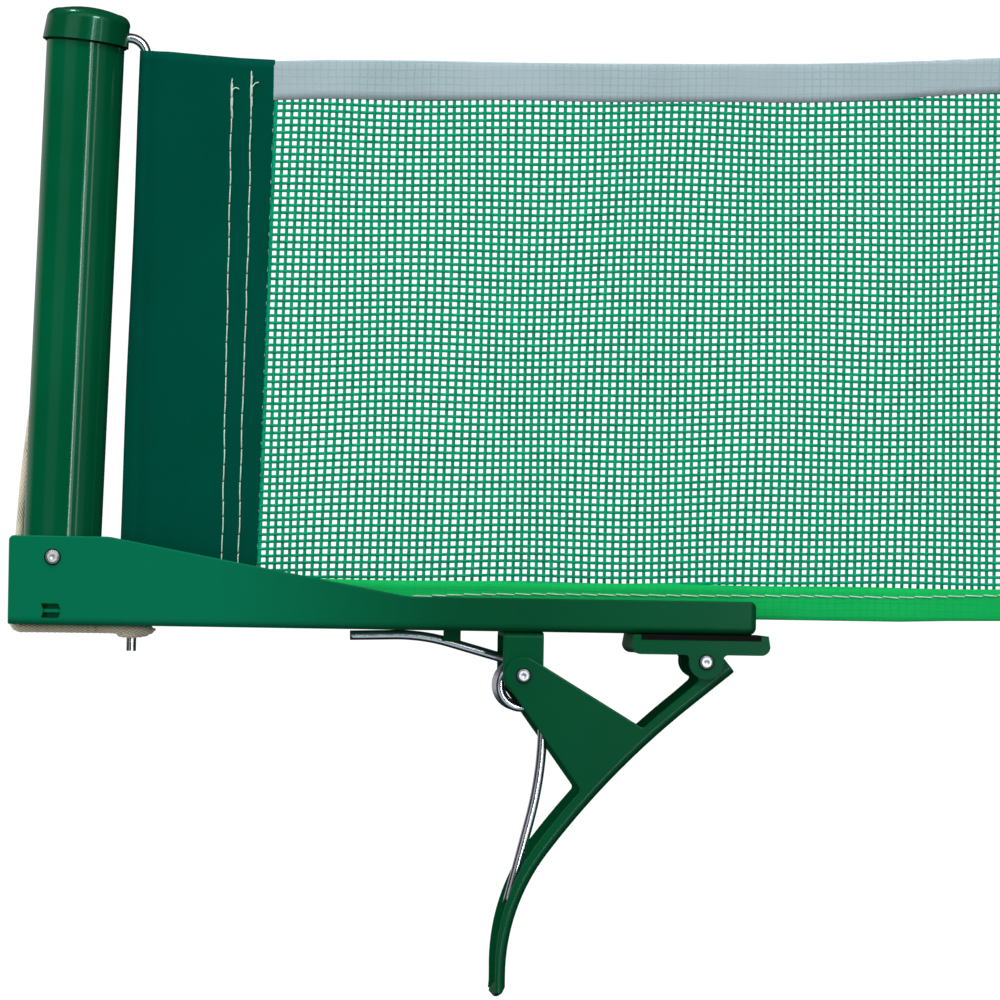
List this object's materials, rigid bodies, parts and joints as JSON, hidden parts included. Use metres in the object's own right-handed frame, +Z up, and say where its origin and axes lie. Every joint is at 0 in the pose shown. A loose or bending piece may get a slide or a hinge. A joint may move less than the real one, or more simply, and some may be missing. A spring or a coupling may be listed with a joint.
{
  "type": "table tennis net clamp",
  "caption": "Spring clamp for a table edge with a channel bracket, capped post, squeeze lever and padded jaw, carrying a bent rod, a tension cord and the first run of net.",
  "frame": {"origin": "on the table top, at the table's side edge, in the plane of the net", "axes": "+X along the net towards the middle of the table, +Y across the bracket, +Z up"},
  "size_m": [0.3069, 0.0294, 0.2622],
  "materials": {
    "bracket_paint": "green enamel, glossy",
    "post_paint": "green enamel, glossy",
    "lever_paint": "green enamel, glossy",
    "cap_plastic": "green plastic, glossy",
    "chrome_wire": "bright plated wire",
    "rivet_steel": "bright plated steel",
    "liner_rubber": "black rubber, matt",
    "sleeve_fabric": "dark green woven cloth",
    "hem_fabric": "bright green woven tape",
    "tape_fabric": "pale grey-blue woven tape",
    "mesh_fabric": "green knotted net",
    "cord_fabric": "off-white braided cord"
  },
  "bodies": {
    "frame": {"bracket_channel": "bracket_paint", "clevis_strap": "bracket_paint", "post_tube": "post_paint", "post_cap": "cap_plastic", "post_rivet": "rivet_steel", "main_pivot_rivet": "rivet_steel", "torsion_spring": "chrome_wire", "net_rod": "chrome_wire", "net_sleeve": "sleeve_fabric", "net_top_tape": "tape_fabric", "net_mesh": "mesh_fabric", "net_bottom_hem": "hem_fabric", "net_end_sleeve": "sleeve_fabric", "tension_cord": "cord_fabric", "cord_knot": "cord_fabric", "cord_hook_knot": "cord_fabric"},
    "lever": {"lever_channel": "lever_paint", "jaw_rivet": "rivet_steel"},
    "jaw": {"jaw_pad": "lever_paint", "jaw_liner": "liner_rubber"}
  },
  "joints": [
    {"name": "lever_swing", "type": "hinge", "parent": "frame", "child": "lever", "pos_m": [-0.0286, 0, -0.0116], "axis": [0, 1, 0], "range_deg": [0, 40], "stiffness_Nm_per_rad": 2.5, "springref_deg": -68.75, "deforming": ["torsion_spring"]},
    {"name": "pad_swivel", "type": "hinge", "parent": "lever", "child": "jaw", "pos_m": [0.0199, 0, -0.0073], "axis": [0, 1, 0], "range_deg": [-40, 0]}
  ],
  "couplings": [
    {"joint": "pad_swivel", "follows": "lever_swing", "ratio": -1}
  ]
}
